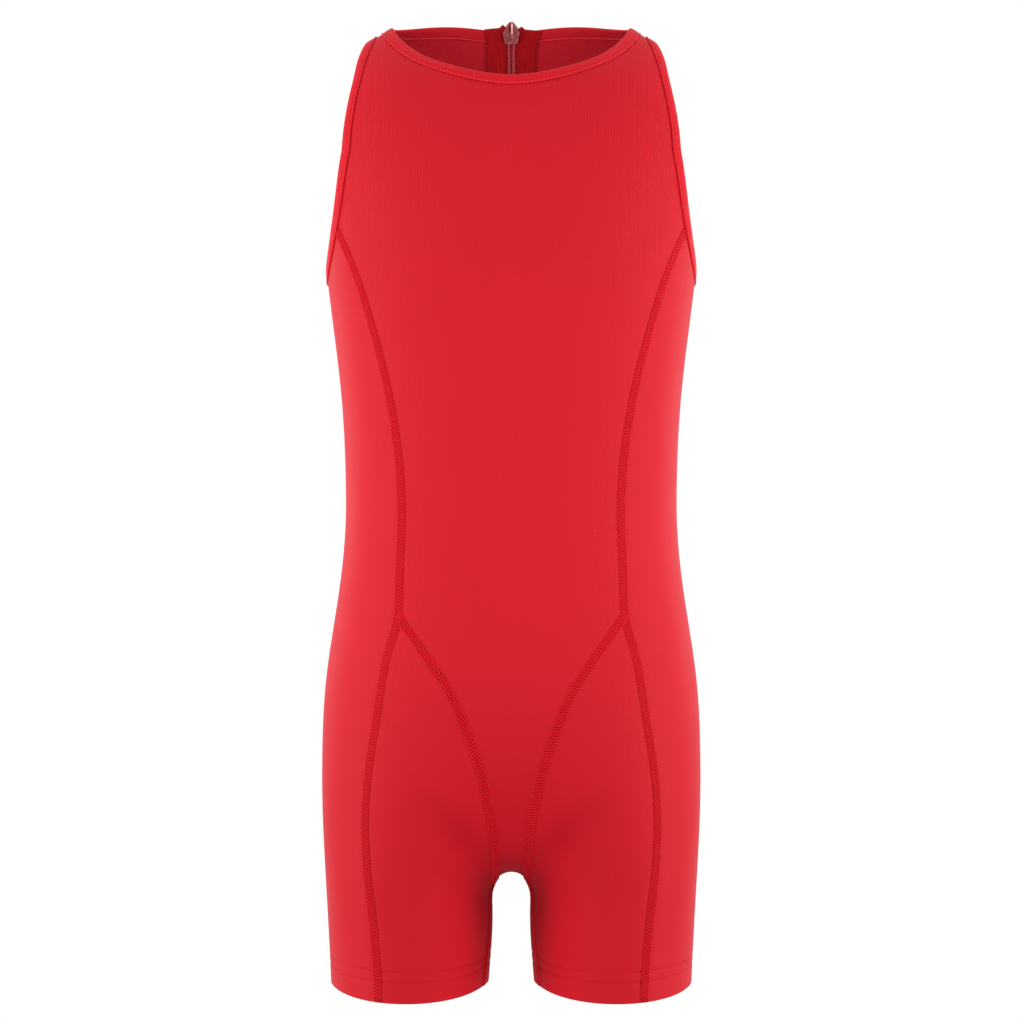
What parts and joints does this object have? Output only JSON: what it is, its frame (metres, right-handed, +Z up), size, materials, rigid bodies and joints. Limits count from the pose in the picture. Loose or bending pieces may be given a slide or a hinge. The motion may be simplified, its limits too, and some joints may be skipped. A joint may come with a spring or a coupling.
{
  "type": "gymnastics bodysuit",
  "caption": "Sleeveless red knit gymnastics bodysuit with short legs, bound neck and armholes, curved side panels and a zip down the back.",
  "frame": {"origin": "midway between the undersides of the two shoulder straps, where the wearer's shoulders or a hanger hold the garment up", "axes": "+Z up towards the neck, -Y the way the front faces, +X towards the wearer's left"},
  "size_m": [0.2452, 0.1741, 0.6321],
  "materials": {
    "red_knit": "matt warp knit with a slight sheen",
    "red_binding": "matt folded knit binding",
    "zip_tape": "matt ribbed woven tape",
    "zip_coil": "satin nylon coil",
    "painted_zinc": "satin dull red paint"
  },
  "bodies": {
    "garment": {"front_panel": "red_knit", "front_leg_left": "red_knit", "front_leg_right": "red_knit", "side_panel_left": "red_knit", "side_panel_right": "red_knit", "back_panel_left": "red_knit", "back_panel_right": "red_knit", "neck_binding": "red_binding", "armhole_binding_left": "red_binding", "armhole_binding_right": "red_binding", "zip_tape_left": "zip_tape", "zip_tape_right": "zip_tape", "zip_coil_left": "zip_coil", "zip_coil_right": "zip_coil", "zip_bottom_stop": "painted_zinc", "zip_slider": "painted_zinc"},
    "pull_tab": {"zip_pull": "painted_zinc"}
  },
  "joints": [
    {"name": "pull_swing", "type": "hinge", "parent": "garment", "child": "pull_tab", "pos_m": [0, 0.04678, 0.01515], "axis": [1, 0, 0], "range_deg": [0, 165]}
  ]
}
